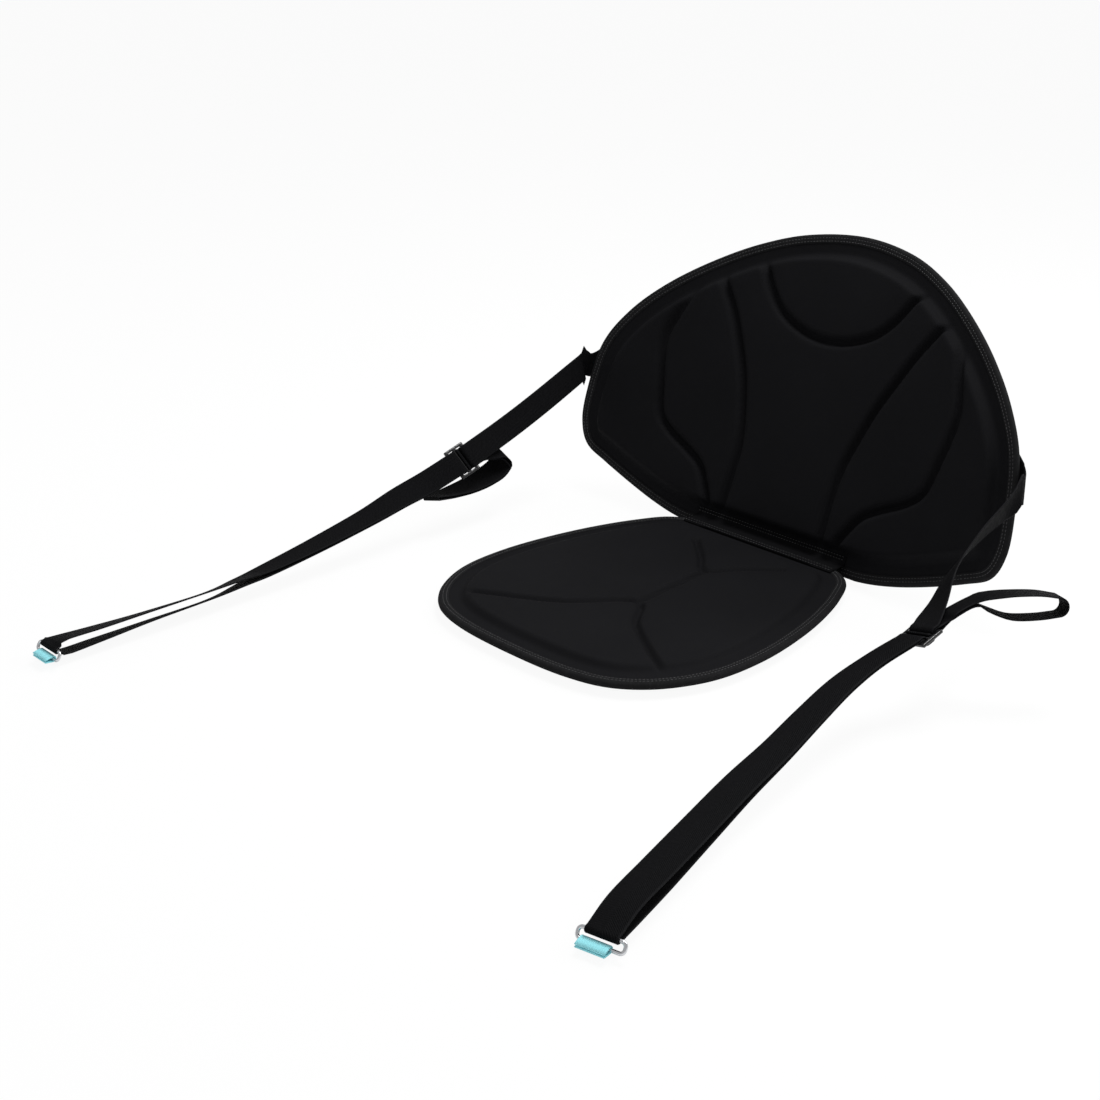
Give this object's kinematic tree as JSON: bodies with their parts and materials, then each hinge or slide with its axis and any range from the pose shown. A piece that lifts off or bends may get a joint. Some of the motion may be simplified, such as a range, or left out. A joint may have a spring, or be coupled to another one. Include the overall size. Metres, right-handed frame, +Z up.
{
  "type": "kayak seat",
  "caption": "Moulded foam seat pad with a bowed, padded backrest and adjustable webbing side straps that end in wire rings.",
  "frame": {"origin": "middle of the seat pad's underside, on the plane that the seat rests on", "axes": "+X across the seat, to the side with the open pull loop; -Y to the front of the seat; +Z up"},
  "size_m": [0.6536, 0.7737, 0.2967],
  "materials": {
    "cover_fabric": "matt woven",
    "foam_fabric": "matt knit over moulded foam",
    "edge_tape": "ribbed tape",
    "stiffener": "plain sheet",
    "hinge_tape": "woven, stitched",
    "webbing": "twill webbing",
    "slider_plastic": "moulded gloss",
    "ring_wire": "bright wire",
    "anchor_tab": "woven tape"
  },
  "bodies": {
    "seat": {"seat_base": "cover_fabric", "seat_foam": "foam_fabric", "seat_edge_tape": "edge_tape", "backrest_foam": "foam_fabric", "backrest_stiffener": "stiffener", "backrest_rear_cover": "cover_fabric", "backrest_edge_tape": "edge_tape", "hinge_tape": "hinge_tape", "right_strap": "webbing", "right_strap_patch": "webbing", "right_slider": "slider_plastic", "right_pull_loop": "webbing", "left_strap": "webbing", "left_strap_patch": "webbing", "left_slider": "slider_plastic", "left_pull_loop": "webbing"},
    "right_ring": {"right_ring": "ring_wire", "right_anchor_tab": "anchor_tab"},
    "left_ring": {"left_ring": "ring_wire", "left_anchor_tab": "anchor_tab"}
  },
  "joints": [
    {"name": "right_ring_swing", "type": "hinge", "parent": "seat", "child": "right_ring", "pos_m": [0.348, -0.402, 0.0128], "axis": [0.9736, 0.2281, 0], "range_deg": [-100, 0]},
    {"name": "left_ring_swing", "type": "hinge", "parent": "seat", "child": "left_ring", "pos_m": [-0.2634, -0.4537, 0.0154], "axis": [1, 0, 0], "range_deg": [-100, 0]}
  ]
}
